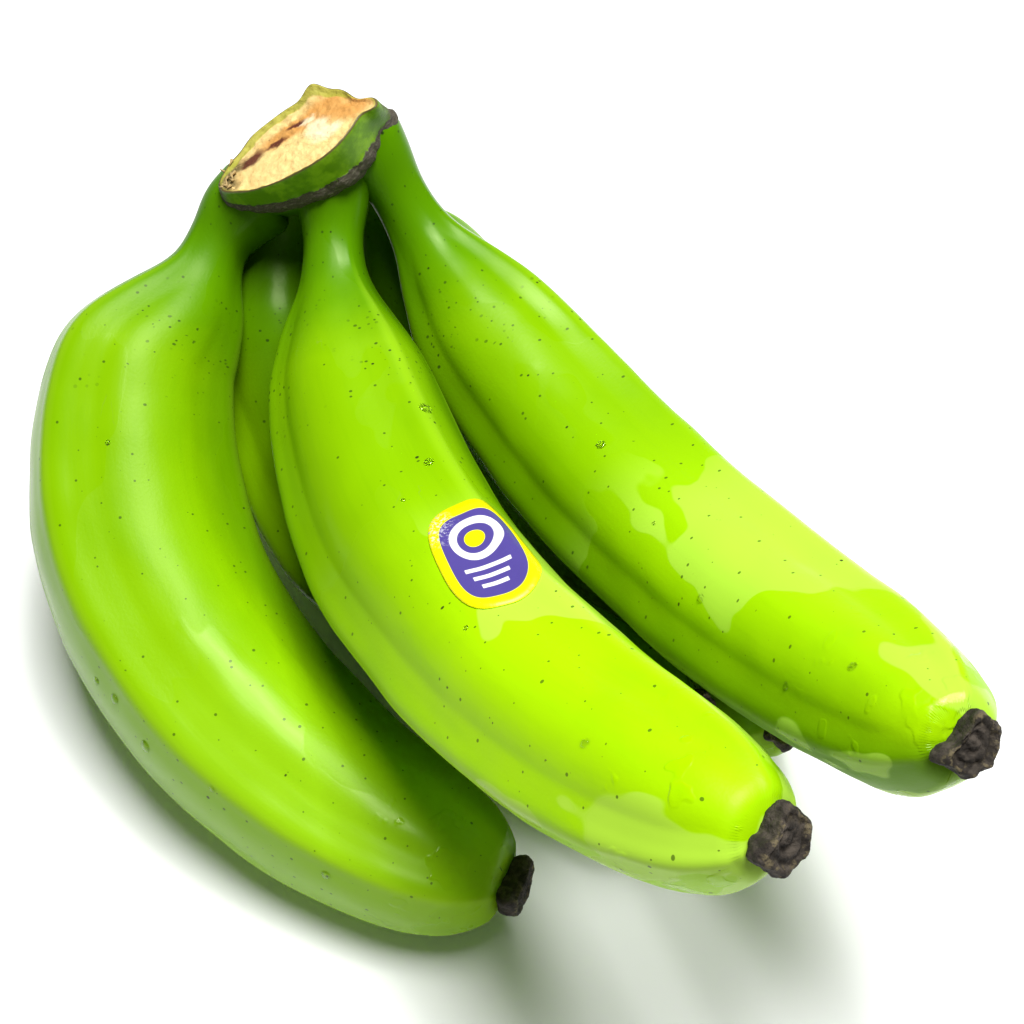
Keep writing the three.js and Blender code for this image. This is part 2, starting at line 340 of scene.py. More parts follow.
# Withered flower on each tip: share of its radius, then of its length
blossomPlan = dict(
    length=4.6, girth=0.25, sides=32, lumpSize=2.4, lumpDepth=1.3, angular=1.25,
    knobs=dict(front_left=60, front_middle=78, front_right=104, back_left=150, back_right=40),
    knobReach=24, knobSize=1.9)
blossomOutline = (
    (0.8, -0.12), (0.88, 0.02), (0.98, 0.18), (1.03, 0.38), (1.06, 0.6), (1.03, 0.82), (0.95, 0.97),
    (0.86, 1.0), (0.78, 0.93), (0.7, 0.86), (0.6, 0.88), (0.52, 0.98), (0.44, 1.0), (0.36, 0.92), (0.28, 0.86),
    (0.2, 0.92), (0.12, 1.0), (0.04, 0.96),
)


def makeBlossomEnd(name, plan):
    shape = blossomPlan
    radius = plan["girth"] * shape["girth"]
    start = plan["length"] - shape["length"]
    stops = [start + shape["length"] * rise for share, rise in blossomOutline]
    radii = [radius * share for share, rise in blossomOutline]
    piece = extrudeAlong(plan, stops, radii, shape["sides"])
    piece.name = "stub_" + name
    shares = [blossomOutline[corner.index // shape["sides"]][0] for corner in piece.data.vertices]
    rises = [blossomOutline[corner.index // shape["sides"]][1] for corner in piece.data.vertices]
    # angular like the tip it grew on, with one knob at its side
    for corner, share, rise in zip(piece.data.vertices, shares, rises):
        stop = stops[corner.index // shape["sides"]]
        x, z, heading = spineAt(plan, stop)
        middle = Vector((x, 0, z)) * mm
        angle = angleOf(plan, stop, corner.co)
        face = 1 + shape["angular"] * (flatFace(plan, angle) - 1) * smoothstep(share, 0.3, 0.8)
        aside = abs((angle - shape["knobs"][name] + 180) % 360 - 180)
        near = smoothstep(1 - aside / shape["knobReach"], 0, 1) * smoothstep(1 - rise, -0.2, 0.6)
        knob = shape["knobSize"] * near * smoothstep(share, 0.75, 0.95)
        corner.co = middle + (corner.co - middle) * (face + knob / radius)
    swayed(piece, plan, stops, shape["sides"])
    addFact(piece, "share", shares)
    addFact(piece, "rise", rises)
    addFiner(piece, 2)
    addLumps(piece, "cork", shape["lumpSize"], shape["lumpDepth"], depth=3)
    applyAll(piece)
    place(piece, placement(plan))
    bpy.ops.object.shade_smooth()
    rideAs(piece, "blossom_end", "blossom_end_" + name)
    return piece


# Crown, in its own frame: the scar ring's outline runs from the front to the right, the back and the left
crownPlan = dict(
    centre=(-31.7, 80.6, 98.9), along=(0.902, 0.273, 0.335), normal=(-0.28, -0.222, 0.935),
    ring=((-1, -12.4), (7, -12.4), (13.5, -9.4), (18.5, -4.6), (23, 0.5), (19.5, 5.5), (13, 10.5),
          (4, 14), (-5, 14), (-14, 11.5), (-20, 6.5), (-23, 1.5), (-18.5, -5.2), (-11, -9.8)),
    curveSteps=6, cutHeight=7.5, cutTilt=0.14, cutLean=0.18, cushionLean=0.35,
    # above the ring the wall is pulled about: where, within what reach, and which way
    pulls=(((21.8, 0.5), 10, (-0.6, -4.4, 0)), ((18.5, 5.2), 8, (-1.2, -2.6, 0)),
           ((7.8, 12), 5, (0.4, 1.8, 1.9)), ((-14, 9), 5, (0, -0.6, -0.4))),
    rimShare=0.94, scarReach=(1.2, 3), scarLumps=(3.5, 1.6), cutLumps=(1.8, 0.9))
# share of the outline, then mm above the ring
crownOutline = (
    (0.3, -18.6), (0.5, -17), (0.66, -14.5), (0.78, -11), (0.86, -7), (0.9, -4), (0.93, -2.9), (0.985, -1.9),
    (1.01, -0.9), (1.015, 0), (1.0, 0.9), (0.98, 1.5), (0.975, 2.6), (0.97, 3.8), (0.965, 5), (0.96, 6.2),
    (0.955, 7), (0.94, 7.5), (0.91, 7.4), (0.88, 7.0), (0.84, 6.8), (0.78, 6.8), (0.71, 6.9), (0.63, 7),
    (0.55, 7), (0.46, 7.1), (0.37, 7.1), (0.28, 7.1), (0.19, 7.1), (0.1, 7.1),
)


def crownMatrix():
    along, normal = (Vector(crownPlan[k]).normalized() for k in ("along", "normal"))
    across = normal.cross(along).normalized()
    along = across.cross(normal)
    turn = Matrix((along, across, normal)).transposed().to_4x4()
    return Matrix.Translation(Vector(crownPlan["centre"]) * mm) @ turn


def ringDisc():
    # the ring's outline as a closed curve, made a flat face
    outline = bpy.data.curves.new("crownOutline", "CURVE")
    outline.dimensions = "2D"
    outline.fill_mode = "NONE"
    outline.resolution_u = crownPlan["curveSteps"]
    spline = outline.splines.new("BEZIER")
    spline.bezier_points.add(len(crownPlan["ring"]) - 1)
    for point, (x, y) in zip(spline.bezier_points, crownPlan["ring"]):
        point.co = (x * mm, y * mm, 0)
        point.handle_left_type = point.handle_right_type = "AUTO"
    spline.use_cyclic_u = True
    piece = bpy.data.objects.new("crown_top", outline)
    bpy.context.collection.objects.link(piece)
    pick(piece)
    bpy.ops.object.convert(target="MESH")
    piece = bpy.context.object
    editAll(piece)
    bpy.ops.mesh.edge_face_add()
    bpy.ops.object.mode_set(mode="OBJECT")
    return piece


def makeCrown():
    shape = crownPlan
    piece = ringDisc()
    sides = len(piece.data.vertices)
    editAll(piece)
    share, rise = crownOutline[0]
    lean = -shape["cushionLean"] * rise
    bpy.ops.transform.translate(value=(0, lean * mm, rise * mm))
    bpy.ops.transform.resize(value=(share, share, 1), center_override=(0, lean * mm, rise * mm))
    for nextShare, nextRise in crownOutline[1:]:
        nextLean = -shape["cushionLean"] * min(nextRise, 0)
        bpy.ops.mesh.extrude_region_move(
            TRANSFORM_OT_translate={"value": (0, (nextLean - lean) * mm, (nextRise - rise) * mm)})
        centre = (0, nextLean * mm, nextRise * mm)
        size = nextShare / share
        bpy.ops.transform.resize(value=(size, size, size), center_override=centre)
        steps = max(nextRise, 0) - max(rise, 0)
        if steps > 0 and nextShare >= shape["rimShare"]:
            turn = steps / shape["cutHeight"]
            bpy.ops.transform.rotate(value=math.atan(shape["cutTilt"]) * turn, orient_axis="Y",
                                     center_override=centre)
            bpy.ops.transform.rotate(value=math.atan(shape["cutLean"]) * turn, orient_axis="X",
                                     center_override=centre)
        share, rise, lean = nextShare, nextRise, nextLean
    bpy.ops.mesh.select_all(action="SELECT")
    bpy.ops.mesh.normals_make_consistent(inside=False)
    bpy.ops.object.mode_set(mode="OBJECT")
    for corner in piece.data.vertices:
        lift = smoothstep(crownOutline[corner.index // sides][1] / shape["cutHeight"], 0, 1)
        for (x, y), reach, pull in shape["pulls"]:
            away = math.hypot(corner.co.x / mm - x, corner.co.y / mm - y)
            corner.co += Vector(pull) * mm * lift * smoothstep(1 - away / reach, 0, 1)
    scarGroup = piece.vertex_groups.new(name="scar")
    cutGroup = piece.vertex_groups.new(name="cut")
    shares, rises, cuts = [], [], []
    rim = max(k for k, (share, rise) in enumerate(crownOutline) if share >= shape["rimShare"])
    for corner in piece.data.vertices:
        ringNumber = corner.index // sides
        share, rise = crownOutline[ringNumber]
        inCut = 1 if ringNumber > rim else 0
        scarGroup.add([corner.index], 1 - smoothstep(abs(rise + 0.4), *shape["scarReach"]), "REPLACE")
        cutGroup.add([corner.index], inCut, "REPLACE")
        shares.append(share)
        rises.append(rise)
        cuts.append(inCut)
    addFact(piece, "share", shares)
    addFact(piece, "rise", rises)
    addFact(piece, "inCut", cuts)
    addPlaces(piece, "inCrown", [corner.co / mm for corner in piece.data.vertices])
    addFiner(piece, 2)
    addLumps(piece, "knobs", *shape["scarLumps"], "scar", depth=3)
    addLumps(piece, "fibres", *shape["cutLumps"], "cut", depth=3)
    applyAll(piece)
    place(piece, crownMatrix())
    bpy.ops.object.shade_smooth()
    rideAs(piece, "crown", "crown")
    return piece


# Paper label on the front middle finger: distance along it, angle round it, and its turn
labelPlan = dict(
    finger="front_middle", along=124.7, angle=168.3, turn=-12, width=20, height=36, thickness=0.22, gap=0.1,
    sides=48, corner=3)


def makeLabel(fruit):
    shape = labelPlan
    plan = fingerPlan[shape["finger"]]
    deselect()
    bpy.ops.mesh.primitive_circle_add(vertices=shape["sides"], radius=mm, fill_type="NGON")
    piece = bpy.context.object
    piece.name = "paper_label"
    # the round disc is drawn out to a rounded tile
    for corner in piece.data.vertices:
        x, y = corner.co.x / mm, corner.co.y / mm
        square = (abs(x) ** shape["corner"] + abs(y) ** shape["corner"]) ** (-1 / shape["corner"])
        corner.co = (x * square * shape["width"] / 2 * mm, y * square * shape["height"] / 2 * mm, 0)
    editAll(piece)
    bpy.ops.mesh.poke()
    bpy.ops.mesh.subdivide(number_cuts=1)
    bpy.ops.mesh.subdivide(number_cuts=3)
    bpy.ops.object.mode_set(mode="OBJECT")
    addFact(piece, "labelX", [corner.co.x / mm for corner in piece.data.vertices])
    addFact(piece, "labelY", [corner.co.y / mm for corner in piece.data.vertices])
    # laid on the finger corner by corner, with its top to the crown
    turn = math.radians(shape["turn"])
    middle = girthAt(plan, shape["along"])
    for corner in piece.data.vertices:
        x, y = corner.co.x / mm, corner.co.y / mm
        stop = shape["along"] + y * math.cos(turn) + x * math.sin(turn)
        angle = shape["angle"] + math.degrees((y * math.sin(turn) - x * math.cos(turn)) / middle)
        spot, out = onFinger(plan, fruit, stop, angle)
        corner.co = spot + out * shape["gap"] * mm
    sheet = piece.modifiers.new("paper", "SOLIDIFY")
    sheet.thickness = shape["thickness"] * mm
    sheet.offset = 1
    applyAll(piece)
    bpy.ops.object.shade_smooth()
    rideAs(piece, "label", "label")
    return piece


def onFinger(plan, fruit, stop, angle):
    # where a line from the middle of the finger meets its skin, and which way the skin faces there
    x, z, heading = spineAt(plan, stop)
    round_ = math.radians(angle)
    outward = math.cos(round_)
    out = Vector((outward * math.sin(heading), -math.sin(round_), -outward * math.cos(heading)))
    matrix = placement(plan)
    start = matrix @ (Vector((x, 0, z)) * mm) + swayAt(plan, stop) * mm
    out = (matrix.to_3x3() @ out).normalized()
    return fruit.ray_cast(start + out * 60 * mm, -out)[1:3]


# Water drops: distance along the finger, angle round it, half width
dropPlan = dict(
    front_middle=((88.7, 176, 1.1), (69.7, 188, 1.4), (182, 115, 0.8), (98, 150, 0.5), (141, 128, 0.6)),
    front_left=((122, 48, 1.2), (116, 41, 0.9), (133, 43, 1.3), (150, 60, 0.7), (177, 50, 1.0),
                (70, 100, 0.6)),
    front_right=((158, 140, 0.9), (103, 175, 1.1), (190, 120, 0.7), (205, 160, 0.8), (133, 160, 0.5)),
    flat=0.42, longest=1.35, rings=10, segments=16)


def makeDrops(name, plan, fruit):
    shape = dropPlan
    drops = []
    for stop, angle, size in shape[name]:
        deselect()
        bpy.ops.mesh.primitive_uv_sphere_add(segments=shape["segments"], ring_count=shape["rings"],
                                             radius=size * mm)
        drop = bpy.context.object
        drop.scale = (1, random.uniform(1.0, shape["longest"]), shape["flat"])
        bpy.ops.object.transform_apply(location=False, rotation=False, scale=True)
        spot, out = onFinger(plan, fruit, stop, angle)
        place(drop, Matrix.Translation(spot) @ out.to_track_quat("Z", "Y").to_matrix().to_4x4())
        drops.append(drop)
    piece = joinAs("water_" + name, drops)
    rideAs(piece, "skin", "finger_" + name)
    return piece


# Torn fibres at the left end of the cut, in the crown's frame
fibrePlan = dict(
    count=10, xs=(-21.5, -17), ys=(-2, 7), lengths=(1, 2.2), widest=0.42, tip=0.1, sides=7,
    tone=(0.4, 0.28, 0.11))


def makeFibres():
    shape = fibrePlan
    matrix = crownMatrix()
    fibres = []
    for k in range(shape["count"]):
        x, y = random.uniform(*shape["xs"]), random.uniform(*shape["ys"])
        length = random.uniform(*shape["lengths"])
        deselect()
        bpy.ops.mesh.primitive_cone_add(vertices=shape["sides"], radius1=shape["widest"] * mm,
                                        radius2=shape["tip"] * mm, depth=length * mm)
        fibre = bpy.context.object
        lift = crownPlan["cutHeight"] + crownPlan["cutTilt"] * x - crownPlan["cutLean"] * y
        way = Vector((random.uniform(-1, 0.2), random.uniform(-0.6, 1), random.uniform(0, 0.35)))
        turn = way.to_track_quat("Z", "Y").to_matrix().to_4x4()
        place(fibre, matrix @ Matrix.Translation(Vector((x, y, lift)) * mm) @ turn)
        fibres.append(fibre)
    piece = joinAs("crown_fibres", fibres)
    rideAs(piece, "crown", "crown")
    return piece


def newMaterial(name):
    material = bpy.data.materials.new(name)
    material.use_nodes = True
    return material, material.node_tree.nodes, material.node_tree.nodes["Principled BSDF"]


def addNode(nodes, kind, inputs, **settings):
    made = nodes.new("ShaderNode" + kind)
    for key, value in settings.items():
        setattr(made, key, value)
    for key, value in inputs.items():
        if isinstance(value, bpy.types.NodeSocket):
            made.id_data.links.new(value, made.inputs[key])
        else:
            made.inputs[key].default_value = value
    return made


def factOf(nodes, name, output="Fac"):
    return addNode(nodes, "Attribute", {}, attribute_name=name).outputs[output]


def reckon(nodes, operation, *values):
    return addNode(nodes, "Math", dict(enumerate(values)), operation=operation).outputs[0]


def band(nodes, value, low, high, top=1.0):
    # 0 at low, top at high, smooth between
    return addNode(nodes, "MapRange", {"Value": value, "From Min": low, "From Max": high, "To Max": top},
                   interpolation_type="SMOOTHSTEP").outputs[0]


def times(nodes, *values):
    return reckon(nodes, "MULTIPLY", *values)


def vector(nodes, operation, inputs, output=0):
    return addNode(nodes, "VectorMath", inputs, operation=operation).outputs[output]


def blend(nodes, factor, first, second, how="MIX"):
    mixed = addNode(nodes, "Mix", {0: factor, 6: first, 7: second}, data_type="RGBA", blend_type=how)
    return mixed.outputs[2]


def noise(nodes, place, size, detail=3, roughness=0.55, stretch=(1, 1, 1), output=0):
    # size is that of its largest lumps, in mm
    drawn = addNode(nodes, "Mapping", {"Vector": place, "Scale": stretch}).outputs[0]
    return addNode(nodes, "TexNoise", {"Vector": drawn, "Scale": 1 / size, "Detail": detail,
                                       "Roughness": roughness}).outputs[output]


def speckle(nodes, place, spacing, widest, share, onSkin=False):
    # round dots of uneven size in some of the cells, as 0 to 1
    cells = addNode(nodes, "TexVoronoi", {"Vector": place, "Scale": 1 / spacing})
    away = vector(nodes, "SUBTRACT", {0: place, 1: cells.outputs["Position"]})
    if onSkin:
        # measured along the finger's skin, whatever the depth of the cell's middle
        out = vector(nodes, "NORMALIZE", {0: vector(nodes, "MULTIPLY", {0: place, 1: (1, 1, 0)})})
        depth = vector(nodes, "DOT_PRODUCT", {0: away, 1: out}, "Value")
        away = vector(nodes, "SUBTRACT", {0: away, 1: vector(nodes, "SCALE", {0: out, "Scale": depth})})
    reach = vector(nodes, "LENGTH", {0: away}, "Value")
    chance = addNode(nodes, "SeparateColor", {0: cells.outputs["Color"]}).outputs[0]
    over = reckon(nodes, "SUBTRACT", chance, 1.0 - share)
    size = times(nodes, over, widest / share)
    return band(nodes, reckon(nodes, "SUBTRACT", size, reach), 0, 0.3 * widest)


def stain(nodes, place, centre, size):
    # a soft oval patch round a place, in mm
    away = vector(nodes, "SUBTRACT", {0: place, 1: centre})
    shrunk = vector(nodes, "MULTIPLY", {0: away, 1: (1 / size[0], 1 / size[1], 0)})
    reach = vector(nodes, "LENGTH", {0: shrunk}, "Value")
    return band(nodes, reach, 1.25, 0.45)


def relief(nodes, shader, height, depth, strength=1.0):
    bump = addNode(nodes, "Bump", {"Height": height, "Distance": depth * mm, "Strength": strength})
    shader.id_data.links.new(bump.outputs[0], shader.inputs["Normal"])


def paint(shader, name, socket):
    shader.id_data.links.new(socket, shader.inputs[name])


def rampOf(nodes, value, stops):
    ramp = addNode(nodes, "ValToRGB", {0: value})
    for k, (spot, colour) in enumerate(stops):
        element = ramp.color_ramp.elements[k] if k < 2 else ramp.color_ramp.elements.new(spot)
        element.position = spot
        element.color = (*colour, 1)
    return ramp.outputs[0]


# Skin tones; among them a pale green for painted light, a dark green for painted shade, a pale haze for painted
# sheen on the wet patches and a pale green for a painted highlight on the ridges
skinPlan = dict(
    tones=((0.0, (0.075, 0.21, 0.0)), (0.08, (0.085, 0.24, 0.0)), (0.14, (0.12, 0.30, 0.0)),
           (0.21, (0.2, 0.42, 0.0)), (0.5, (0.22, 0.46, 0.0)), (0.8, (0.23, 0.47, 0.001)),
           (0.95, (0.23, 0.46, 0.001)), (0.985, (0.2, 0.38, 0.002)), (1.0, (0.08, 0.10, 0.01))),
    bright=(0.37, 0.69, 0.0, 1), inner=(0.06, 0.17, 0.0, 1), cloud=(0.84, 0.9, 0.8, 1),
    streak=(0.9, 0.94, 0.8, 1), film=(0.48, 0.74, 0.09, 1),
    edge=(0.42, 0.7, 0.03, 1), speck=(0.02, 0.05, 0.004, 1), spot=(0.012, 0.018, 0.006, 1),
    scratch=(0.2, 0.3, 0.03, 1), dry=0.38, wet=0.25, gleam=0.05)


def makeSkin():
    look = skinPlan
    material, nodes, shader = newMaterial("wetGreenPeel")
    place = factOf(nodes, "straightened", "Vector")
    along = factOf(nodes, "along")
    ridge = factOf(nodes, "ridge")
    wander = reckon(nodes, "MULTIPLY_ADD", noise(nodes, place, 16, 2), 0.06,
                    reckon(nodes, "SUBTRACT", along, 0.03))
    colour = rampOf(nodes, wander, look["tones"])
    # painted light on the lower half, then painted shade on one side
    colour = blend(nodes, factOf(nodes, "bright"), colour, look["bright"])
    colour = blend(nodes, factOf(nodes, "dim"), colour, look["inner"])
    clouds = noise(nodes, place, 24, 4, 0.6, (1, 1, 0.5))
    colour = blend(nodes, band(nodes, clouds, 0.45, 0.72, 0.8), colour, look["cloud"], "MULTIPLY")
    streaks = noise(nodes, place, 1.6, 3, 0.6, (1, 1, 0.035))
    notTip = band(nodes, along, 0.95, 0.8)
    streaky = times(nodes, band(nodes, streaks, 0.45, 0.75, 0.4), notTip)
    colour = blend(nodes, streaky, colour, look["streak"], "MULTIPLY")
    # a painted highlight: the ridges lightened towards a pale green
    colour = blend(nodes, times(nodes, ridge, 0.3), colour, look["edge"])
    # a broken film of water with sharp, wandering borders, smoother than the dry skin; where the painted light
    # reaches, the film is paler with a painted sheen
    film = noise(nodes, place, 30, 3, 0.42, (1, 1, 0.55))
    wet = band(nodes, film, 0.5, 0.508)
    reachOfSheen = band(nodes, factOf(nodes, "bright"), 0.05, 0.6, 0.5)
    # painted sheen: the wet patches tinted to a pale haze
    colour = blend(nodes, times(nodes, wet, reachOfSheen), colour, look["film"])
    # thin dry scratches: the level lines of a slow noise, kept here and there
    slow = noise(nodes, place, 9, 3, 0.5, (1, 1, 0.45))
    contour = reckon(nodes, "ABSOLUTE", reckon(nodes, "SUBTRACT", slow, 0.5))
    some = band(nodes, noise(nodes, place, 13, 2, 0.5, (0.9, 1.1, 0.8)), 0.66, 0.7)
    scratches = times(nodes, band(nodes, contour, 0.006, 0.001), some)
    colour = blend(nodes, times(nodes, scratches, 0.3), colour, look["scratch"])
    # dark dots, thick on the shoulders
    shoulder = times(nodes, band(nodes, along, 0.1, 0.15), band(nodes, along, 0.3, 0.22))
    crowd = band(nodes, noise(nodes, place, 15, 2), 0.42, 0.6)
    thick = speckle(nodes, place, 2.4, 0.48, 0.5, True)
    thick = times(nodes, thick, times(nodes, crowd, shoulder))
    dots = times(nodes, speckle(nodes, place, 4.4, 0.42, 0.55, True), 0.85)
    dots = reckon(nodes, "MAXIMUM", dots, thick)
    colour = blend(nodes, times(nodes, dots, 0.85), colour, look["speck"])
    spots = speckle(nodes, place, 7, 0.5, 0.12, True)
    colour = blend(nodes, times(nodes, spots, 0.9), colour, look["spot"])
    paint(shader, "Base Color", colour)
    rough = reckon(nodes, "MULTIPLY_ADD", wet, look["wet"] - look["dry"], look["dry"])
    # full wet gleam near the tips
    pools = times(nodes, band(nodes, noise(nodes, place, 7, 2, 0.5), 0.58, 0.63), band(nodes, along, 0.82, 0.9))
    paint(shader, "Roughness", reckon(nodes, "MULTIPLY_ADD", pools, look["gleam"] - look["wet"], rough))
    fine = times(nodes, noise(nodes, place, 0.8, 2), reckon(nodes, "SUBTRACT", 0.16, times(nodes, wet, 0.12)))
    height = reckon(nodes, "MULTIPLY_ADD", times(nodes, streaks, notTip), 0.12, fine)
    height = reckon(nodes, "MULTIPLY_ADD", times(nodes, noise(nodes, place, 3, 1), pools), 0.9, height)
    height = reckon(nodes, "MULTIPLY_ADD", wet, 0.1, height)
    relief(nodes, shader, height, 0.3, 0.7)
    shader.inputs["Specular IOR Level"].default_value = 0.16
    shader.inputs["Specular Tint"].default_value = (0.9, 1, 0.6, 1)
    return material


corkPlan = dict(dark=(0.02, 0.015, 0.01, 1), brown=(0.07, 0.056, 0.042, 1), rim=(0.2, 0.16, 0.08, 1))


def makeCork():
    look = corkPlan
    material, nodes, shader = newMaterial("driedCork")
    here = addNode(nodes, "TexCoord", {}).outputs["Object"]
    place = vector(nodes, "MULTIPLY", {0: here, 1: (1 / mm,) * 3})
    coarse = noise(nodes, place, 2.2, 4, 0.6)
    colour = blend(nodes, band(nodes, coarse, 0.4, 0.65), look["dark"], look["brown"])
    rise, share = factOf(nodes, "rise"), factOf(nodes, "share")
    rim = times(nodes, band(nodes, rise, 0.7, 1.0), band(nodes, share, 0.5, 0.9))
    patchy = band(nodes, noise(nodes, place, 1.3, 3, 0.6, (1, 1, 1.3)), 0.48, 0.62)
    worn = times(nodes, rim, patchy)
    colour = blend(nodes, times(nodes, worn, 0.7), colour, look["rim"])
    paint(shader, "Base Color", colour)
    relief(nodes, shader, noise(nodes, place, 0.7, 5, 0.7), 0.5)
    shader.inputs["Roughness"].default_value = 0.7
    shader.inputs["Specular IOR Level"].default_value = 0.35
    return material


stalkPlan = dict(
    green=(0.1, 0.23, 0.0, 1), paleGreen=(0.2, 0.38, 0.006, 1), under=(0.06, 0.17, 0.0, 1),
    scar=(0.075, 0.062, 0.042, 1), scarPale=(0.2, 0.18, 0.13, 1), dot=(0.015, 0.025, 0.004, 1),
    cream=(0.8, 0.6, 0.24, 1), tan=(0.55, 0.24, 0.045, 1), maroon=(0.09, 0.014, 0.008, 1),
    white=(0.85, 0.72, 0.46, 1), olive=(0.34, 0.34, 0.03, 1), edge=(0.12, 0.09, 0.03, 1),
    tanPatches=(((8.7, 5, 0), (8, 5.5)), ((-2, 5, 0), (9, 3.4)), ((15, -0.5, 0), (6, 4))),
    maroonPatches=(((-12, 3.3, 0), (4.4, 2.2)), ((-4.8, 3.4, 0), (3, 1.5)), ((1.5, 5.5, 0), (3, 0.9))),
    torn=(((-20, 0.5, 0), (3.6, 6)), ((-17, 4.5, 0), (3, 2.4))),
    ends=(((23.2, -1.5, 0), (2.6, 4.2)), ((-22.6, 2.2, 0), (4, 4.4))),
    whitePatches=(((5.5, 0, 0), (3.4, 4)), ((3.6, 4.8, 0), (2.4, 1.3)), ((7.5, -3.5, 0), (4, 2.5))))


def makeStalk():
    look = stalkPlan
    material, nodes, shader = newMaterial("cutStalk")
    place = factOf(nodes, "inCrown", "Vector")
    rise = factOf(nodes, "rise")
    share = factOf(nodes, "share")
    inCut = factOf(nodes, "inCut")
    stir = noise(nodes, place, 4, 3, 0.6, output=1)
    warped = vector(nodes, "MULTIPLY_ADD", {0: stir, 1: (4, 4, 4), 2: place})
    warped = vector(nodes, "SUBTRACT", {0: warped, 1: (2, 2, 2)})
    # the green wall
    mottle = noise(nodes, place, 5, 4, 0.6)
    wall = blend(nodes, band(nodes, mottle, 0.42, 0.66), look["green"], look["paleGreen"])
    wall = blend(nodes, times(nodes, speckle(nodes, place, 1.7, 0.22, 0.28), 0.85), wall, look["dot"])
    wall = blend(nodes, band(nodes, rise, -2.2, -4), wall, look["under"])
    # the scar: a ring, and up both pointed ends
    ragged = reckon(nodes, "MULTIPLY_ADD", noise(nodes, place, 2.5, 4, 0.65), 2.4,
                    reckon(nodes, "SUBTRACT", rise, 1.2))
    scar = times(nodes, band(nodes, ragged, 2.1, 1.7), band(nodes, ragged, -3.6, -3))
    for centre, size in look["ends"]:
        scar = reckon(nodes, "MAXIMUM", scar, stain(nodes, warped, centre, size))
    crust = noise(nodes, place, 1.1, 4, 0.65, (1, 1, 2.4))
    scarred = blend(nodes, band(nodes, crust, 0.5, 0.68, 0.7), look["scar"], look["scarPale"])
    wall = blend(nodes, scar, wall, scarred)
    wall = blend(nodes, band(nodes, rise, 7.0, 7.35), wall, look["edge"])
    # the cut
    fleck = band(nodes, noise(nodes, place, 3, 4, 0.6), 0.4, 0.7, 0.3)
    cut = blend(nodes, fleck, look["cream"], look["tan"])
    for tone, strength in (("tan", 0.85), ("white", 0.85), ("maroon", 0.97)):
        for centre, size in look[tone + "Patches"]:
            patch = times(nodes, stain(nodes, warped, centre, size), strength)
            cut = blend(nodes, patch, cut, look[tone])
    torn = band(nodes, noise(nodes, place, 2, 4, 0.7), 0.3, 0.5, 0.95)
    for centre, size in look["torn"]:
        cut = blend(nodes, times(nodes, stain(nodes, warped, centre, size), torn), cut, look["edge"])
    grains = noise(nodes, place, 0.55, 3, 0.7)
    cut = blend(nodes, band(nodes, grains, 0.56, 0.7, 0.3), cut, look["tan"])
    cut = blend(nodes, times(nodes, speckle(nodes, place, 1.3, 0.2, 0.25), 0.7), cut, look["maroon"])
    toBack = band(nodes, addNode(nodes, "SeparateXYZ", {0: place}).outputs[1], 1, 9, 0.12)
    wavy = reckon(nodes, "MULTIPLY_ADD", noise(nodes, place, 4, 3), 0.06, 0.86)
    rimStart = reckon(nodes, "SUBTRACT", wavy, toBack)
    rim = band(nodes, reckon(nodes, "SUBTRACT", share, rimStart), 0.0, 0.05)
    cut = blend(nodes, times(nodes, rim, 0.85), cut, look["olive"])
    colour = blend(nodes, band(nodes, inCut, 0.25, 0.6), wall, cut)
    paint(shader, "Base Color", colour)
    rough = reckon(nodes, "MULTIPLY_ADD", reckon(nodes, "MAXIMUM", scar, inCut), 0.25, 0.4)
    paint(shader, "Roughness", rough)
    height = reckon(nodes, "MULTIPLY_ADD", crust, reckon(nodes, "MAXIMUM", scar, 0.15),
                    times(nodes, grains, times(nodes, inCut, 0.35)))
    relief(nodes, shader, height, 0.6)
    shader.inputs["Specular IOR Level"].default_value = 0.3
    return material


printPlan = dict(
    yellow=(0.92, 0.9, 0.0, 1), violet=(0.075, 0.055, 0.26, 1), white=(0.9, 0.9, 0.88, 1),
    worn=(0.5, 0.5, 0.6, 1), field=(7.6, 14.4), fieldCorner=3.4, ring=(0, -5.5, 4.6, 1.0), disc=2.0,
    bars=(4.2, 7.2, 10.2), barSize=(5.2, 0.75), edge=0.25, wornCorner=((7, -12, 0), (5, 6)))


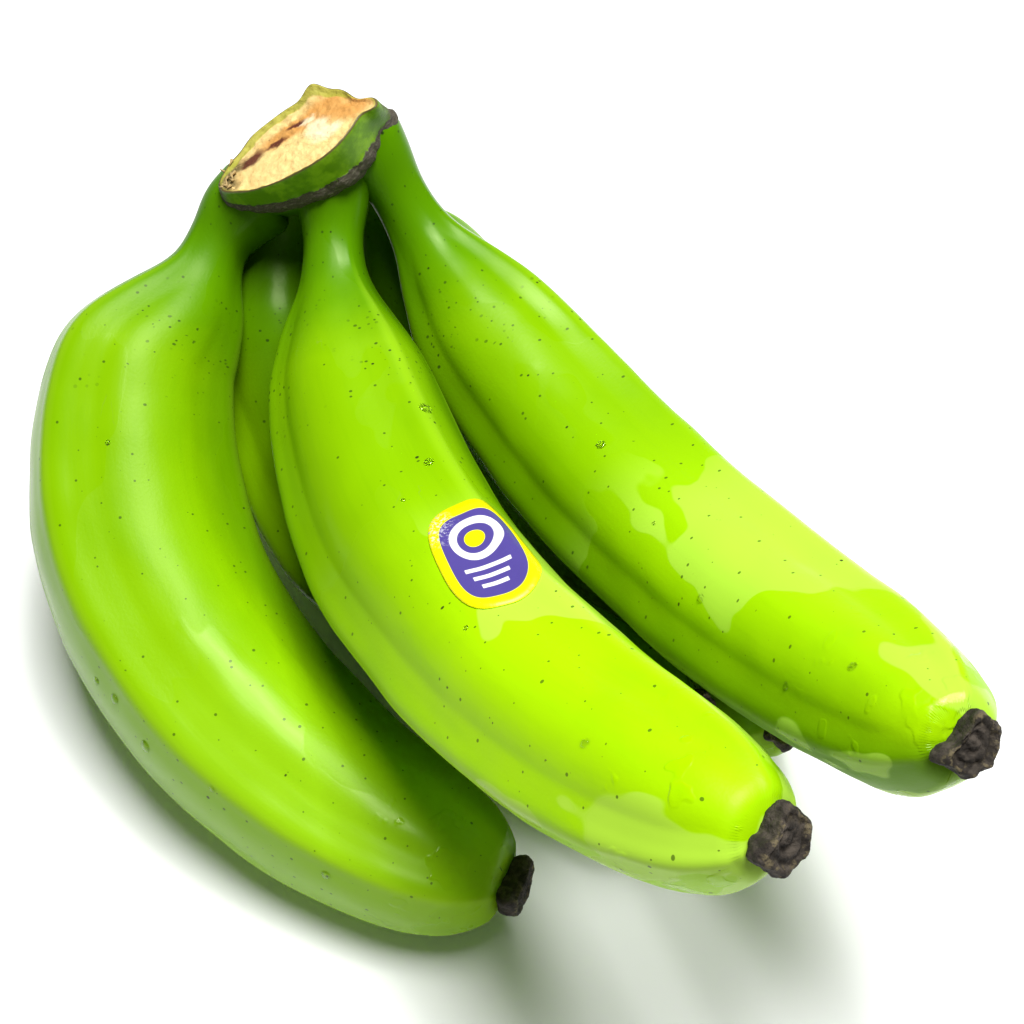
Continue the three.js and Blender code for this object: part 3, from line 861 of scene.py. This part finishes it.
def makePrint():
    # a plain ring over three bars on a violet field
    look = printPlan
    material, nodes, shader = newMaterial("printedPaper")
    x, y = factOf(nodes, "labelX"), factOf(nodes, "labelY")
    squared = [reckon(nodes, "POWER", reckon(nodes, "ABSOLUTE", reckon(nodes, "DIVIDE", value, half)),
                      look["fieldCorner"]) for value, half in zip((x, y), look["field"])]
    field = band(nodes, reckon(nodes, "ADD", *squared), 1.06, 0.96)
    colour = blend(nodes, field, look["yellow"], look["violet"])
    cx, cy, radius, width = look["ring"]
    fromX = reckon(nodes, "POWER", reckon(nodes, "SUBTRACT", x, cx), 2.0)
    fromY = reckon(nodes, "POWER", times(nodes, reckon(nodes, "SUBTRACT", y, cy), 0.8), 2.0)
    away = reckon(nodes, "SQRT", reckon(nodes, "ADD", fromX, fromY))
    offRing = reckon(nodes, "ABSOLUTE", reckon(nodes, "SUBTRACT", away, radius))
    ring = band(nodes, offRing, width, width - look["edge"])
    colour = blend(nodes, ring, colour, look["white"])
    colour = blend(nodes, band(nodes, away, look["disc"] + 0.2, look["disc"]), colour, look["yellow"])
    for k, middle in enumerate(look["bars"]):
        wide, high = look["barSize"]
        across = band(nodes, reckon(nodes, "ABSOLUTE", x), wide - k, wide - k - look["edge"])
        offBar = reckon(nodes, "ABSOLUTE", reckon(nodes, "SUBTRACT", y, middle))
        upright = band(nodes, offBar, high, high - look["edge"])
        colour = blend(nodes, times(nodes, across, upright), colour, look["white"])
    place = addNode(nodes, "CombineXYZ", {0: x, 1: y}).outputs[0]
    corner = stain(nodes, place, *look["wornCorner"])
    rubbed = times(nodes, corner, band(nodes, noise(nodes, place, 0.9, 4, 0.7), 0.5, 0.6))
    colour = blend(nodes, times(nodes, rubbed, 0.8), colour, look["worn"])
    paint(shader, "Base Color", colour)
    relief(nodes, shader, noise(nodes, place, 5, 2), 0.2)
    shader.inputs["Roughness"].default_value = 0.35
    shader.inputs["Specular IOR Level"].default_value = 0.3
    return material


def makePlain(name, colour, roughness):
    material, nodes, shader = newMaterial(name)
    shader.inputs["Base Color"].default_value = (*colour, 1)
    shader.inputs["Roughness"].default_value = roughness
    return material


def makeWater():
    material, nodes, shader = newMaterial("clearWater")
    shader.inputs["Base Color"].default_value = (1, 1, 1, 1)
    shader.inputs["Roughness"].default_value = 0.02
    shader.inputs["IOR"].default_value = 1.33
    shader.inputs["Transmission Weight"].default_value = 1
    return material


# Stage, in metres. lamps: place, size and energy of a broad soft box and a small bright one
stagePlan = dict(floorSize=6, floorTone=0.96, floorRoughness=0.6, sky=0.1, aim=(0, 0, 0.05),
                 lamps=(((0.13, 0.06, 1.0), 0.5, 15.5), ((0.16, 0.14, 1.15), 0.09, 1.7)))


def makeStage():
    stage = stagePlan
    deselect()
    bpy.ops.mesh.primitive_plane_add(size=stage["floorSize"])
    floor = bpy.context.object
    floor.name = "floor"
    floor.data.materials.append(makePlain("paleFloor", (stage["floorTone"],) * 3, stage["floorRoughness"]))
    world = bpy.data.worlds.new("softWhite")
    world.use_nodes = True
    sky = world.node_tree.nodes["Background"]
    sky.inputs["Color"].default_value = (1, 1, 1, 1)
    sky.inputs["Strength"].default_value = stage["sky"]
    bpy.context.scene.world = world
    for spot, size, energy in stage["lamps"]:
        bpy.ops.object.light_add(type="AREA", location=spot)
        lamp = bpy.context.object
        lamp.data.size = size
        lamp.data.energy = energy
        lamp.rotation_euler = (Vector(stage["aim"]) - lamp.location).to_track_quat("-Z", "Y").to_euler()
    bpy.context.scene.view_settings.view_transform = "Standard"


cameraPlan = dict(place=(16.2, -209.1, 310.4), tilt=49.5, focal=1480, frame=1024, sensor=36)


def makeCamera():
    data = bpy.data.cameras.new("camera")
    camera = bpy.data.objects.new("camera", data)
    bpy.context.collection.objects.link(camera)
    camera.location = Vector(cameraPlan["place"]) * mm
    camera.rotation_euler = (math.radians(90 - cameraPlan["tilt"]), 0, 0)
    data.sensor_width = cameraPlan["sensor"]
    data.lens = cameraPlan["sensor"] * cameraPlan["focal"] / cameraPlan["frame"]
    data.clip_start = 0.01
    bpy.context.scene.camera = camera


makeCamera()
makeStage()
print("camera, floor and light")
skin = makeSkin()
cork = makeCork()
water = makeWater()
for name, plan in fingerPlan.items():
    fruit = makeFinger(name, plan)
    fruit.data.materials.append(skin)
    makeBlossomEnd(name, plan).data.materials.append(cork)
    if name == labelPlan["finger"]:
        makeLabel(fruit).data.materials.append(makePrint())
    if name in dropPlan:
        makeDrops(name, plan, fruit).data.materials.append(water)
print("fingers, blossom ends and label")
makeCrown().data.materials.append(makeStalk())
makeFibres().data.materials.append(makePlain("tornFibre", fibrePlan["tone"], 0.7))
print("crown")
